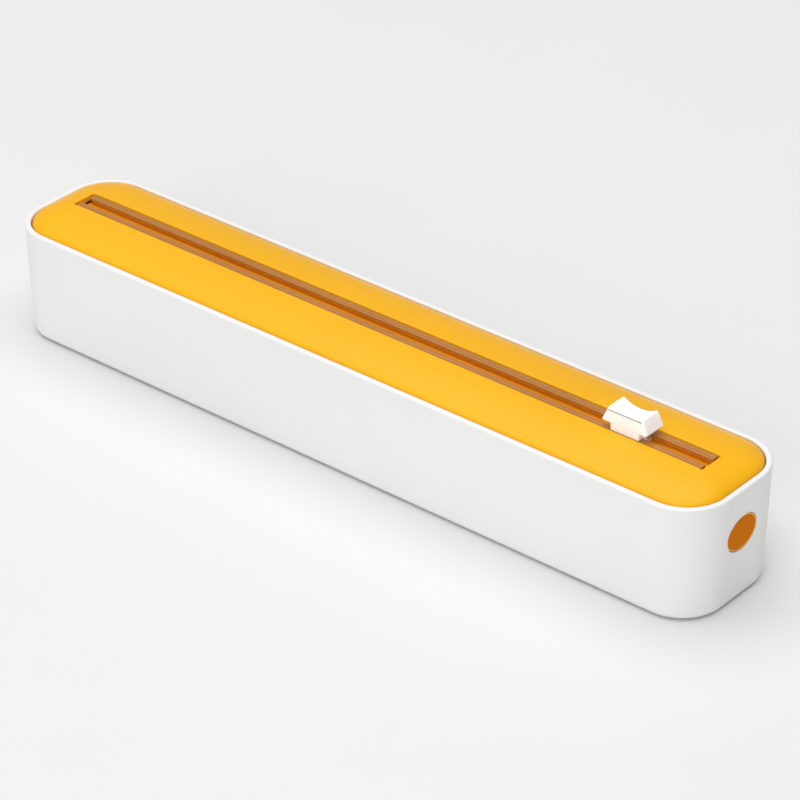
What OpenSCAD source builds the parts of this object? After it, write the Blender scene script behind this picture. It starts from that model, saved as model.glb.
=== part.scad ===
// Cling film dispenser: a long tub with a crowned lid that lifts straight off, a slide cutter that
// runs in the lid's slot, a film roll on two core plugs, and a sprung release button at each end.
// Millimetres. Origin at the middle of the plane it stands on, +X to the right end, +Z up.

/* [Tub] */
// Overall length
tub_length = 350; // [340:1:380]
// Overall width
tub_width = 61; // [60:0.5:70]
// Height from the underside to the rim
tub_height = 49.4; // [48.5:0.1:56]
// Plan radius of the four corners at the rim
corner_r = 20; // [16:0.5:22]
// How far each wall leans in between the rim and the base
draft = 1.4; // [0.5:0.1:1.8]
// Radius of the edge round the base
base_edge_r = 2.6; // [1:0.1:4]
// Wall and floor thickness
wall = 2.5; // [2:0.1:2.8]

/* [Lid] */
// Gap between the lid's edge and the rim
lid_gap = 0.5; // [0.4:0.05:0.8]
// How far the lid's edge lies below the rim
lid_drop = 1.5; // [1:0.1:3]
// Rise of the crown above the lid's edge
lid_crown = 6.3; // [6:0.1:8]
// Length at each end over which the crown rolls down
end_roll = 20; // [18:1:30]
// Thickness of the lid shell
lid_wall = 2.2; // [1.8:0.1:2.4]
// Depth of the skirt inside the tub
skirt_depth = 6.5; // [5:0.1:6.5]

/* [Cutter track] */
// Length of the slot in the lid
slot_length = 318; // [310:1:324]
// Width of the slot in the lid
slot_width = 11.9; // [11.5:0.1:13]
// Width of the groove between the rails
groove_width = 4.6; // [4.2:0.1:5]
// Thickness of each rail strip
rail_thickness = 1.35; // [1.2:0.05:1.5]
// How far the rail tops lie below the crown
rail_drop = 0.8; // [0.6:0.05:0.9]

/* [Slider] */
// Distance of the slider's base from the middle of the slot
slider_x = 123.4; // [-140:0.1:140]
// How far the grip sits from the middle of its base
grip_offset = -0.3; // [-1:0.1:1]
// Length of the grip at its lower edge
grip_length = 20.5; // [18:0.5:24]
// Length of the grip at its top
grip_top_length = 15.7; // [12:0.1:17]
// Height of the grip's two horns above its lower edge
grip_height = 6.7; // [5:0.1:9]
// Depth of the saddle between the horns
saddle_depth = 1.8; // [0.5:0.1:3]
// Length of the base under the grip
slider_base_length = 13; // [12.5:0.5:15]

/* [Film roll] */
// Width of the film
film_width = 300; // [290:1:300]
// Outer diameter of the wound film
roll_d = 39; // [34:0.5:39]
// Outer diameter of the paper core
core_d = 32.4; // [31:0.1:32.8]
// Thickness of the core's paper wall
core_wall = 1.2; // [0.8:0.1:1.5]
// Height of the roll's axis above the tub's underside
roll_height = 23.5; // [23:0.1:24]

/* [Buttons] */
// Height of the oval hole in each end wall
button_hole_d = 15; // [14:0.1:16]
// How much wider than high the hole is
button_stretch = 4; // [1:0.1:4.4]
// Height of the hole's centre above the tub's underside
button_height = 29.5; // [29.3:0.1:30]
// How far a button's face lies inside the end wall
button_recess = 0.6; // [0.3:0.1:0.8]
// How far a button is pressed
button_travel = 1.5; // [1:0.1:1.6]

/* [Feet] */
// Diameter of each rubber foot
foot_d = 10; // [8:0.5:12]
// How far the feet stand proud of the underside
foot_proud = 0.6; // [0.4:0.1:1]

/* [Hidden] */
$fn = 64;
LEFT = -1;
RIGHT = 1;
FRONT = -1;
BACK = 1;

WHITE = [0.93, 0.93, 0.92];
ORANGE = [0.97, 0.68, 0.18];
AMBER = [0.80, 0.55, 0.30];
DEEP_ORANGE = [0.76, 0.45, 0.07];
STEEL = [0.72, 0.73, 0.75];
PAPER = [0.72, 0.58, 0.42];
FILM = [0.86, 0.90, 0.92];
GREY = [0.55, 0.55, 0.56];
RUBBER = [0.30, 0.30, 0.31];

// Tub
base_z = foot_proud;
rim_z = base_z + tub_height;
floor_z = base_z + wall;
corner_x = tub_length / 2 - corner_r;
corner_y = tub_width / 2 - corner_r;
cavity_edge_r = 1.5;
// Half sizes of the inner wall, and how far it leans in at a height z
inner_x = tub_length / 2 - wall;
inner_y = tub_width / 2 - wall;
function lean(z) = draft * (rim_z - z) / tub_height;

// Lid
lid_x = inner_x - lid_gap;
lid_y = inner_y - lid_gap;
lid_corner_r = corner_r - wall - lid_gap;
lid_edge_z = rim_z - lid_drop;
crown_z = lid_edge_z + lid_crown;
skirt_z = lid_edge_z - skirt_depth;
skirt_draft = lean(skirt_z) - lean(lid_edge_z);
crown_steps = 12;
corner_steps = 8;

// Cutter track, from the crown down
rail_top_z = crown_z - rail_drop;
rail_z = rail_top_z - rail_thickness;
channel_depth = 1.7;
channel_z = rail_z - channel_depth;
channel_half = 3.7;
track_floor = 1.8;
track_half = slot_width / 2 - 0.15;
track_end = slot_length / 2 - 0.1;
flange_half = 10.5;
flange_z = crown_z - 3.1;
flange_thickness = 1.4;
rail_gap = 0.9;
rail_half_length = track_end - rail_gap;
flange_half_length = slot_length / 2 - 13;
track_screw_y = 8.2;
track_screw_xs = [-141, -47, 47, 141];
track_screw_r = 1;
track_screw_top_z = crown_z - 1.2;

// Slider
shoe_clearance = 0.2;
shoe_z = channel_z + shoe_clearance;
shoe_top_z = rail_z - shoe_clearance;
shoe_half = [slider_base_length / 2 - 0.2, channel_half - 0.4];
neck_half = [5, groove_width / 2 - 0.4];
slider_base_z = rail_top_z + shoe_clearance;
slider_base_half_y = slot_width / 2 - 0.35;
grip_z = crown_z + 2.2;
grip_half_y = 5.6;
grip_top_half_y = 4.8;
slider_screw_x = 2.6;
slider_screw_r = 0.8;
blade_half_thickness = 0.2;
blade_root = 4.3;
blade_slot_root = blade_root - 0.2;
blade_top_z = slider_base_z + 1.55;

// Film roll
roll_z = base_z + roll_height;
core_half = film_width / 2 + 2;
core_bore_r = core_d / 2 - core_wall;
plug_spigot = 6;
plug_flange_r = 17.5;
plug_flange = 2;
axle_r = 3;
axle_end = core_half + plug_flange + 5.6;
seat_clearance = 0.08;

// End brackets
cradle_x = core_half + plug_flange + 1;
cradle_thickness = 4;
spring_wall_x = cradle_x + cradle_thickness + 2;
spring_wall_thickness = 2;
bracket_end = cradle_x + 13.5;
bracket_half_y = 15.5;
upright_half_y = 9;
bracket_z = base_z + 5.5;
bracket_plate = 2.2;
spring_wall_top_z = rim_z - 12.8;
bracket_screw_at = [bracket_end - 3.5, 12];
bracket_screw_r = 1.25;
bracket_screw_foot_z = base_z + 1.2;
boss_r = 3.4;

// Buttons
button_z = base_z + button_height;
wall_out_x = tub_length / 2 - lean(button_z);
wall_in_x = wall_out_x - wall;
button_r = button_hole_d / 2 - 0.25;
button_face_x = wall_out_x - button_recess;
button_flange_r = button_r + 2.3;
button_flange_x = wall_in_x - 2.55;
button_flange = 1.8;
button_cup_r = 6;
button_skin = 1.6;
spring_r = 5;
spring_wire_r = 0.4;
spring_turns = 5;
spring_from_x = spring_wall_x + spring_wall_thickness;
spring_to_x = button_face_x - button_skin;
spigot_r = 3.2;
spigot_length = 2.5;

// Catch: the button's arm hooks towards the lid's ledge
catch_half_y = 4;
catch_bar_z = [button_z + 7.6, button_z + 10.1];
catch_top_z = skirt_z + 4.5;
catch_x = button_flange_x - 5;
catch_thickness = 2.2;
ledge_x = catch_x + catch_thickness + 0.3;
ledge_half_y = 6;
ledge_z = skirt_z + 0.6;
ledge_thickness = 1.4;
ledge_root_x = lid_x - lid_wall + 0.8;

// Feet
foot_depth = 1;
foot_r = foot_d / 2;
foot_x = tub_length / 2 - 35;
foot_y = tub_width / 2 - 15.5;

// Mirrors its children to the left end
module at_end(side) {
    if (side == RIGHT) children();
    else mirror([1, 0, 0]) children();
}

// Extrudes a profile drawn in (y, z) along X, from x0 to x1
module along_x(x0, x1) {
    translate([x0, 0, 0]) rotate([90, 0, 90]) linear_extrude(height = x1 - x0) children();
}

// Extrudes a profile drawn in (x, z) along Y, centred on y = 0
module along_y(half) {
    rotate([90, 0, 0]) linear_extrude(height = 2 * half, center = true) children();
}

// A cylinder along X
module rod_x(r, x0, x1) {
    translate([x0, 0, 0]) rotate([0, 90, 0]) cylinder(r = r, h = x1 - x0);
}

// An oval bar along X, wider by button_stretch than it is high
module oval_x(r, x0, x1) {
    reach = button_stretch / 2;
    for (y = [-reach, reach]) translate([0, y, 0]) rod_x(r, x0, x1);
    box([x0, -reach, -r], [x1, reach, r]);
}

// A box given by its lowest and highest corners
module box(low, high) {
    translate(low) cube(high - low);
}

// Rounded, leaning tub form: r0 and r1 are the corner radii at the heights z0 and z1
module tub_form(r0, r1, z0, z1, edge_r) {
    edge = [for (a = [0:22.5:90]) [r0 - edge_r + edge_r * sin(a), z0 + edge_r * (1 - cos(a))]];
    hull()
        for (x = [-corner_x, corner_x], y = [-corner_y, corner_y])
            translate([x, y, 0])
                rotate_extrude($fn = 32) polygon(concat([[0, z0]], edge, [[r1, z1], [0, z1]]));
}

module tub() {
    rib = [5, 4];
    rib_top_z = skirt_z - 0.1;
    rib_y = inner_y - lean(skirt_z) - 0.3;
    rib_xs_front = [-155, 155];
    rib_xs_back = [-155, -60, 60, 155];
    color(WHITE)
    difference() {
        union() {
            difference() {
                tub_form(corner_r - draft, corner_r, base_z, rim_z, base_edge_r);
                tub_form(corner_r - draft - wall, corner_r - wall, floor_z, rim_z + 1, cavity_edge_r);
            }
            // Ribs that the lid's skirt rests on
            for (x = rib_xs_front)
                box([x - rib.x / 2, -rib_y - 0.6, floor_z - 1], [x + rib.x / 2, rib.y - rib_y, rib_top_z]);
            for (x = rib_xs_back)
                box([x - rib.x / 2, rib_y - rib.y, floor_z - 1], [x + rib.x / 2, rib_y + 0.6, rib_top_z]);
            // Bosses under the end brackets
            for (side = [LEFT, RIGHT], y = [-1, 1])
                translate([side * bracket_screw_at.x, y * bracket_screw_at.y, floor_z - 1])
                    cylinder(r = boss_r, h = bracket_z - floor_z + 1);
        }
        for (side = [LEFT, RIGHT]) at_end(side) {
            translate([0, 0, button_z]) oval_x(button_hole_d / 2, wall_in_x - 4, wall_out_x + 4);
            for (y = [-1, 1])
                translate([bracket_screw_at.x, y * bracket_screw_at.y, bracket_screw_foot_z - 0.1])
                    cylinder(r = bracket_screw_r, h = tub_height / 2);
        }
        for (x = [-foot_x, foot_x], y = [-foot_y, foot_y])
            translate([x, y, base_z - 1]) cylinder(r = foot_r, h = foot_depth + 1);
    }
}

// One closed outline of the lid, with half sizes hx and hy and corner radius r, at the height z
function outline(hx, hy, r, z) = [
    for (c = [0:3], j = [0:corner_steps])
        let (a = 90 * c + 90 * j / corner_steps, sx = c == 0 || c == 3 ? 1 : -1, sy = c < 2 ? 1 : -1)
            [sx * (hx - r) + r * cos(a), sy * (hy - r) + r * sin(a), z]
];

// Crown outline at the angle a, from 0 at the edge towards 90 at the ridge, set in by inset
function crown_ring(a, inset) = outline(
    lid_x - inset - end_roll * (1 - cos(a)), (lid_y - inset) * cos(a),
    (lid_corner_r - inset) * cos(a), lid_edge_z - inset + lid_crown * sin(a));

// All outlines of one side of the lid shell, from the skirt's lower edge up
function lid_rings(inset) = concat(
    [outline(lid_x - inset - skirt_draft, lid_y - inset - skirt_draft, lid_corner_r - inset, skirt_z)],
    [for (k = [0:crown_steps - 1]) crown_ring(90 * k / crown_steps, inset)]);

// Triangles between ring k and ring k + 1 of n points each, facing outwards
function band(k, n) = [for (i = [0:n - 1], t = [0, 1])
    let (a = k * n + i, b = k * n + (i + 1) % n) t == 0 ? [a, a + n, b + n] : [a, b + n, b]];

function flipped(faces) = [for (f = faces) [for (i = [len(f) - 1:-1:0]) f[i]]];

module crown_shell() {
    outer = lid_rings(0);
    inner = lid_rings(lid_wall);
    n = len(outer[0]);
    m = len(outer);
    points = [for (r = concat(outer, inner), p = r) p];
    outer_bands = [for (k = [0:m - 2], f = band(k, n)) f];
    inner_bands = flipped([for (k = [m:2 * m - 2], f = band(k, n)) f]);
    outer_cap = [[for (i = [n - 1:-1:0]) (m - 1) * n + i]];
    inner_cap = [[for (i = [0:n - 1]) (2 * m - 1) * n + i]];
    foot = [for (i = [0:n - 1]) let (j = (i + 1) % n) [i, j, m * n + j, m * n + i]];
    polyhedron(points, concat(outer_bands, inner_bands, outer_cap, inner_cap, foot));
}

module lid_shell() {
    slot = [slot_length / 2, slot_width / 2];
    color(ORANGE)
    difference() {
        union() {
            crown_shell();
            // Ledge at each end that the button's catch holds down
            for (side = [LEFT, RIGHT]) at_end(side) {
                box([ledge_x, -ledge_half_y, ledge_z],
                    [ledge_root_x, ledge_half_y, ledge_z + ledge_thickness]);
                box([ledge_root_x - 2, -ledge_half_y, ledge_z],
                    [ledge_root_x, ledge_half_y, lid_edge_z - 1]);
            }
        }
        box([-slot.x, -slot.y, skirt_z], [slot.x, slot.y, crown_z + 1]);
        for (x = track_screw_xs, y = [-track_screw_y, track_screw_y])
            translate([x, y, skirt_z]) cylinder(r = track_screw_r, h = track_screw_top_z - skirt_z);
    }
}

module cutter_track() {
    under_z = channel_z - track_floor;
    channel = [[-track_half, under_z], [track_half, under_z], [track_half, rail_z],
               [channel_half, rail_z], [channel_half, channel_z],
               [-channel_half, channel_z], [-channel_half, rail_z], [-track_half, rail_z]];
    color(ORANGE)
    difference() {
        union() {
            along_x(-track_end, track_end) polygon(channel);
            for (y = [-flange_half, track_half - 0.5])
                box([-flange_half_length, y, flange_z - flange_thickness],
                    [flange_half_length, y + flange_half - track_half + 0.5, flange_z]);
        }
        // Gaps past the ends of the rails
        for (x = [-track_end - 1, rail_half_length]) {
            for (y = [-track_half - 1, groove_width / 2])
                translate([x, y, channel_z])
                    cube([rail_gap + 1, track_half + 1 - groove_width / 2, crown_z - channel_z]);
            for (y = [-track_half - 1, channel_half])
                translate([x, y, under_z - 1])
                    cube([rail_gap + 1, track_half + 1 - channel_half, crown_z - under_z]);
        }
        for (x = track_screw_xs, y = [-track_screw_y, track_screw_y])
            translate([x, y, under_z]) cylinder(r = track_screw_r, h = 2 * track_floor + 2);
    }
}

// A clear strip on one side of the groove: it overhangs the channel and holds the shoe down
module rail(side) {
    inner = groove_width / 2;
    outer = track_half - 0.05;
    soft = 0.3;
    profile = [[inner, rail_z], [outer, rail_z], [outer, rail_top_z - soft], [outer - soft, rail_top_z],
               [inner + soft, rail_top_z], [inner, rail_top_z - soft]];
    color(AMBER)
    along_x(-rail_half_length, rail_half_length) polygon([for (p = profile) [side * p.x, p.y]]);
}

module track_screws() {
    head = [1.8, 0.9];
    head_z = flange_z - flange_thickness;
    color(STEEL)
    for (x = track_screw_xs, y = [-track_screw_y, track_screw_y]) translate([x, y, 0]) {
        translate([0, 0, head_z - head[1]]) cylinder(r = head[0], h = head[1]);
        translate([0, 0, head_z]) cylinder(r = track_screw_r, h = track_screw_top_z - head_z);
    }
}

// Grip with a saddle between two horns; it overhangs its base at both ends
module slider_grip() {
    half = grip_length / 2;
    top_half = grip_top_length / 2;
    lip = 0.8;
    saddle_steps = 16;
    horn = 0.7;
    top_z = grip_z + grip_height;
    saddle = [for (i = [0:saddle_steps])
        let (u = 1 - 2 * i / saddle_steps) [u * (top_half - horn), top_z - saddle_depth * (1 - u * u)]];
    side_view = concat([[-half, grip_z], [half, grip_z], [half, grip_z + lip], [top_half, top_z]],
                       saddle, [[-top_half, top_z], [-half, grip_z + lip]]);
    end_view = [[-grip_half_y, grip_z], [grip_half_y, grip_z], [grip_half_y, grip_z + lip],
                [grip_top_half_y, top_z], [-grip_top_half_y, top_z], [-grip_half_y, grip_z + lip]];
    color(WHITE)
    translate([slider_x, 0, 0])
    difference() {
        translate([grip_offset, 0, 0]) intersection() {
            along_y(grip_half_y + 1) polygon(side_view);
            along_x(-half - 1, half + 1) polygon(end_view);
        }
        for (x = [-slider_screw_x, slider_screw_x])
            translate([x, 0, grip_z - 1]) cylinder(r = slider_screw_r, h = 3.6);
    }
}

module slider_base() {
    half = slider_base_length / 2;
    color(WHITE)
    translate([slider_x, 0, 0])
    difference() {
        box([-half, -slider_base_half_y, slider_base_z], [half, slider_base_half_y, grip_z]);
        for (x = [-slider_screw_x, slider_screw_x])
            translate([x, 0, slider_base_z - 1]) cylinder(r = slider_screw_r, h = 5);
        for (side = [LEFT, RIGHT]) at_end(side)
            box([blade_slot_root, -blade_half_thickness - 0.05, slider_base_z - 1],
                [half + 1, blade_half_thickness + 0.05, blade_top_z + 0.1]);
    }
}

module slider_shoe() {
    head_depth = 0.9;
    color(GREY)
    translate([slider_x, 0, 0])
    difference() {
        union() {
            box([-shoe_half.x, -shoe_half.y, shoe_z], [shoe_half.x, shoe_half.y, shoe_top_z]);
            box([-neck_half.x, -neck_half.y, shoe_z], [neck_half.x, neck_half.y, slider_base_z]);
        }
        for (x = [-slider_screw_x, slider_screw_x]) translate([x, 0, shoe_z - 1]) {
            cylinder(r = slider_screw_r, h = 6);
            cylinder(r = 1.5, h = head_depth + 1);
        }
    }
}

// A cutting plate at one end of the slider; its slanted edge dips into the groove
module cutter_blade(side) {
    tip_z = rail_top_z - 1.2;
    plate = [[blade_root, slider_base_z + 0.15], [neck_half.x + 0.4, slider_base_z + 0.15],
               [neck_half.x + 0.8, tip_z], [7.4, tip_z], [9.3, blade_top_z], [blade_root, blade_top_z]];
    color(STEEL)
    translate([slider_x, 0, 0]) at_end(side) along_y(blade_half_thickness) polygon(plate);
}

module slider_screws() {
    head = [1.4, 0.8];
    color(STEEL)
    for (x = [-slider_screw_x, slider_screw_x]) translate([slider_x + x, 0, shoe_z + 0.1]) {
        cylinder(r = head[0], h = head[1]);
        cylinder(r = slider_screw_r, h = grip_z + 2.4 - shoe_z);
    }
}

module core_tube() {
    color(PAPER)
    translate([0, 0, roll_z])
    difference() {
        rod_x(core_d / 2, -core_half, core_half);
        rod_x(core_bore_r, -core_half - 1, core_half + 1);
    }
}

module film_roll() {
    half = film_width / 2;
    color(FILM)
    translate([0, 0, roll_z])
    difference() {
        rod_x(roll_d / 2, -half, half);
        rod_x(core_d / 2 + 0.05, -half - 1, half + 1);
    }
}

// Plug in the end of the core, with a flange and a stub axle
module roll_plug(side) {
    spigot_x = core_half - plug_spigot;
    color(GREY)
    translate([0, 0, roll_z]) at_end(side)
    difference() {
        union() {
            rod_x(core_bore_r - 0.05, spigot_x, core_half);
            rod_x(plug_flange_r, core_half, core_half + plug_flange);
            rod_x(axle_r, core_half + plug_flange, axle_end);
        }
        rod_x(core_bore_r - 2, spigot_x - 1, core_half - 1);
    }
}

// Bracket with a cradle for the axle and a wall that the button's spring pushes against
module end_bracket(side) {
    plate_top_z = bracket_z + bracket_plate;
    seat_r = axle_r + seat_clearance;
    cradle_end = cradle_x + cradle_thickness;
    color(WHITE)
    at_end(side)
    difference() {
        union() {
            box([cradle_x, -bracket_half_y, bracket_z], [bracket_end, bracket_half_y, plate_top_z]);
            box([cradle_x, -upright_half_y, bracket_z], [cradle_end, upright_half_y, roll_z + 4]);
            box([spring_wall_x, -upright_half_y, bracket_z],
                [spring_from_x, upright_half_y, spring_wall_top_z]);
            for (y = [-upright_half_y, upright_half_y - 2])
                box([cradle_end - 1, y, bracket_z], [spring_wall_x + 1, y + 2, roll_z]);
            translate([0, 0, button_z]) rod_x(spigot_r, spring_from_x - 1, spring_from_x + spigot_length);
        }
        translate([0, 0, roll_z]) rod_x(seat_r, cradle_x - 1, cradle_end + 1);
        box([cradle_x - 1, -seat_r, roll_z], [cradle_end + 1, seat_r, rim_z]);
        for (y = [-bracket_screw_at.y, bracket_screw_at.y])
            translate([bracket_screw_at.x, y, bracket_z - 1]) cylinder(r = bracket_screw_r, h = 6);
    }
}

module bracket_screws(side) {
    head = [2.6, 1.6];
    head_z = bracket_z + bracket_plate;
    color(STEEL)
    at_end(side)
    for (y = [-bracket_screw_at.y, bracket_screw_at.y]) translate([bracket_screw_at.x, y, 0]) {
        translate([0, 0, bracket_screw_foot_z])
            cylinder(r = bracket_screw_r, h = head_z - bracket_screw_foot_z);
        translate([0, 0, head_z]) cylinder(r = head[0], h = head[1]);
    }
}

// Oval push button with a flange inside the wall, a cup for its spring, and the catch arm
module button(side) {
    color(DEEP_ORANGE)
    at_end(side)
    difference() {
        union() {
            translate([0, 0, button_z]) {
                oval_x(button_r, button_flange_x, button_face_x);
                oval_x(button_flange_r, button_flange_x, button_flange_x + button_flange);
            }
            box([catch_x, -catch_half_y, catch_bar_z[0]],
                [button_flange_x + 1, catch_half_y, catch_bar_z[1]]);
            box([catch_x, -catch_half_y, catch_bar_z[0]],
                [catch_x + catch_thickness, catch_half_y, catch_top_z]);
        }
        translate([0, 0, button_z]) rod_x(button_cup_r, button_flange_x - 1, spring_to_x);
    }
}

// Coil spring from the bracket's wall to the button's cup
module button_spring(side) {
    sides = 6;
    steps_per_turn = 16;
    rings = spring_turns * steps_per_turn;
    x0 = spring_from_x + spring_wire_r;
    x1 = spring_to_x - spring_wire_r;
    points = [for (i = [0:rings], j = [0:sides - 1])
        let (a = 360 * i / steps_per_turn, b = 360 * j / sides, r = spring_r + spring_wire_r * cos(b))
            [x0 + (x1 - x0) * i / rings + spring_wire_r * sin(b), r * cos(a), r * sin(a)]];
    walls = [for (i = [0:rings - 1], f = band(i, sides)) f];
    caps = [[for (j = [0:sides - 1]) j], [for (j = [sides - 1:-1:0]) rings * sides + j]];
    color(STEEL)
    at_end(side) translate([0, 0, button_z]) polyhedron(points, concat(walls, caps));
}

module foot(side_x, side_y) {
    color(RUBBER)
    translate([side_x * foot_x, side_y * foot_y, 0]) cylinder(r = foot_r, h = foot_proud + foot_depth);
}

tub();
lid_shell();
cutter_track();
rail(FRONT);  // rail_front
rail(BACK);  // rail_back
track_screws();
slider_grip();
slider_base();
slider_shoe();
cutter_blade(LEFT);  // cutter_blade_left
cutter_blade(RIGHT);  // cutter_blade_right
slider_screws();
core_tube();
film_roll();
roll_plug(LEFT);  // roll_plug_left
roll_plug(RIGHT);  // roll_plug_right
end_bracket(LEFT);  // end_bracket_left
end_bracket(RIGHT);  // end_bracket_right
bracket_screws(LEFT);  // bracket_screws_left
bracket_screws(RIGHT);  // bracket_screws_right
button(LEFT);  // button_left
button(RIGHT);  // button_right
button_spring(LEFT);  // button_spring_left
button_spring(RIGHT);  // button_spring_right
foot(LEFT, FRONT);  // foot_front_left
foot(RIGHT, FRONT);  // foot_front_right
foot(LEFT, BACK);  // foot_back_left
foot(RIGHT, BACK);  // foot_back_right
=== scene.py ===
"""Cling film dispenser: the visible pieces, their materials, the camera, the floor and the light."""
import math
import random

import bmesh
import bpy
from mathutils import Matrix, Vector


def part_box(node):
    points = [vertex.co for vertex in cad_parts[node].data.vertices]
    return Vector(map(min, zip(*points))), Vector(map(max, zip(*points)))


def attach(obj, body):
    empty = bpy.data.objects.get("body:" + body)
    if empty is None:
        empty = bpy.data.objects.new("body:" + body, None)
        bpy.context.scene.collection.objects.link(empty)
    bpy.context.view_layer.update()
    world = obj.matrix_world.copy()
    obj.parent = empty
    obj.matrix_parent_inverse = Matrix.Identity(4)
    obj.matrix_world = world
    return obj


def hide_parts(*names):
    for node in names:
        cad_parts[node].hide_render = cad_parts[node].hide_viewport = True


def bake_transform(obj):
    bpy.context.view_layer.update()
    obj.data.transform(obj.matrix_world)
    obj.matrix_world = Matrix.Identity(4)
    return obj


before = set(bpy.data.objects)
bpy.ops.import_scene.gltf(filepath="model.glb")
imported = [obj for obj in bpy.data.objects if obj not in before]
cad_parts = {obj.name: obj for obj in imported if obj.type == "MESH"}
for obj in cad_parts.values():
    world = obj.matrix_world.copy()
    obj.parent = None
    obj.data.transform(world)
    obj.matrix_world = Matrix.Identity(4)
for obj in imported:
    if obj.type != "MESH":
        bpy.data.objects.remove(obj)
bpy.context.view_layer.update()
scene = bpy.context.scene
MM = 0.001

# Places that come from the frame
tub_low, tub_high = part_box("tub")
lid_low, lid_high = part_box("lid_shell")
track_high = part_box("cutter_track")[1]
grip_low, grip_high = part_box("slider_grip")
base_low, base_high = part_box("slider_base")
button_low, button_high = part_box("button_right")
spring_low, spring_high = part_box("button_spring_right")
roll_low, roll_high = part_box("film_roll")
core_low, core_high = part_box("core_tube")
plug_low, plug_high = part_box("roll_plug_right")
blade_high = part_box("cutter_blade_right")[1]

# Tub
WALL = 2.5 * MM
CORNER_R = 20 * MM
DRAFT = 1.4 * MM
BASE_EDGE_R = 2.6 * MM
RIM_OUTER_R = 0.8 * MM
RIM_INNER_R = 0.7 * MM
FLOOR_EDGE_R = 1.5 * MM
FLAT_BAND = 6 * MM
RIM_Z = tub_high.z
BASE_Z = tub_low.z

# Lid
LID_CORNER_R = 17 * MM
LID_WALL = 2.2 * MM
LID_DROP = 1.5 * MM
CROWN = 6.3 * MM
END_ROLL = 20 * MM
LID_EDGE_Z = RIM_Z - LID_DROP
LEDGE_X = 166.9 * MM
LEDGE_HALF_WIDTH = 6 * MM
SLOT_GAP = 0.1 * MM
SLOT_X = track_high.x + SLOT_GAP
SLOT_Y = 5.95 * MM
SLOT_CORNER_R = 0.5 * MM
SLOT_FILLET = 0.6 * MM

# End hole and button: the oval is HOLE_STRETCH wider than it is high
HOLE_R = 7.5 * MM
HOLE_STRETCH = 4 * MM
HOLE_FILLET = 0.45 * MM
BUTTON_R = 7.25 * MM
BUTTON_FLANGE_R = 9.55 * MM
CUP_R = 6 * MM
CATCH_BAR = (7.6 * MM, 10.1 * MM)
CATCH_HALF_WIDTH = 4 * MM
BUTTON_Z = (spring_low.z + spring_high.z) / 2
LEAN_ANGLE = math.atan(DRAFT / (RIM_Z - BASE_Z))

# The radius of the small flat cap at each end of a solid turned part
AXIS_R = 0.05 * MM

# How finely the long outlines are divided
ARC_STEPS = 16
LONG_STOPS = [0.003, 0.012] + [k / 26 for k in range(1, 26)] + [0.988, 0.997]
SHORT_STOPS = [0.04, 0.14, 0.26, 0.38, 0.5, 0.62, 0.74, 0.86, 0.96]


# ---------------------------------------------------------------- mesh helpers

def outline(half_x, half_y, radius):
    """Points round a rounded rectangle, anticlockwise, the same number for every size."""
    points = []
    for corner, (sx, sy) in enumerate(((1, 1), (-1, 1), (-1, -1), (1, -1))):
        cx, cy = sx * (half_x - radius), sy * (half_y - radius)
        for k in range(ARC_STEPS + 1):
            a = math.radians(90 * corner + 90 * k / ARC_STEPS)
            points.append((cx + radius * math.cos(a), cy + radius * math.sin(a)))
        start = points[-1]
        end = ((-(half_x - radius), half_y), (-half_x, -(half_y - radius)),
               (half_x - radius, -half_y), (half_x, half_y - radius))[corner]
        for stop in SHORT_STOPS if corner % 2 else LONG_STOPS:
            points.append((start[0] + (end[0] - start[0]) * stop, start[1] + (end[1] - start[1]) * stop))
    return points


def loft(bm, rings, closed=False):
    """Skins rings of equally many points: closed joins the last to the first, or both ends are capped."""
    made = [[bm.verts.new(p) for p in ring] for ring in rings]
    pairs = list(zip(made, made[1:]))
    if closed:
        pairs.append((made[-1], made[0]))
    for a, b in pairs:
        for i in range(len(a)):
            j = (i + 1) % len(a)
            bm.faces.new((a[i], a[j], b[j], b[i]))
    if not closed:
        bm.faces.new(list(reversed(made[0])))
        bm.faces.new(made[-1])


def lathe(bm, profile, centre, steps=96, axis="X", side=1, stretch=0.0, closed=False):
    """Turns (distance along the axis, radius) points round an axis through centre.

    The ends are capped, or joined to each other if closed. With stretch, rings wider than the
    spring's cup become ovals."""
    rings = []
    for along, radius in profile:
        widen = 1 + stretch / 2 / radius if radius > CUP_R + 0.5 * MM else 1
        ring = []
        for k in range(steps):
            a = 2 * math.pi * k / steps
            u, v = widen * radius * math.cos(a), radius * math.sin(a)
            if axis == "X":
                ring.append((side * along, centre[0] + u, centre[1] + v))
            else:
                ring.append((centre[0] + u, centre[1] + v, along))
        rings.append(ring)
    loft(bm, rings, closed)


def soft_box(bm, low, high, radius, steps=3):
    """A box with rounded edges."""
    made = bmesh.ops.create_cube(bm, size=1)["verts"]
    low, high = Vector(low), Vector(high)
    for v in made:
        v.co = Vector(low[i] + (high[i] - low[i]) * (v.co[i] + 0.5) for i in range(3))
    edges = list({e for v in made for e in v.link_edges})
    bmesh.ops.bevel(bm, geom=edges, offset=radius, segments=steps, profile=0.5, affect="EDGES")


def fillet(profile, radius, steps=5):
    """Rounds the inner points of an open profile, by less where two of them are close together."""
    out = [profile[0]]
    for before, here, after in zip(profile, profile[1:], profile[2:]):
        p, a, b = Vector(here), Vector(before) - Vector(here), Vector(after) - Vector(here)
        just_under_half = 0.49
        reach = min(radius, a.length * just_under_half, b.length * just_under_half)
        start, end = p + a.normalized() * reach, p + b.normalized() * reach
        for k in range(steps + 1):
            t = k / steps
            out.append(tuple(start * (1 - t) ** 2 + p * 2 * t * (1 - t) + end * t ** 2))
    out.append(profile[-1])
    return out


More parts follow.
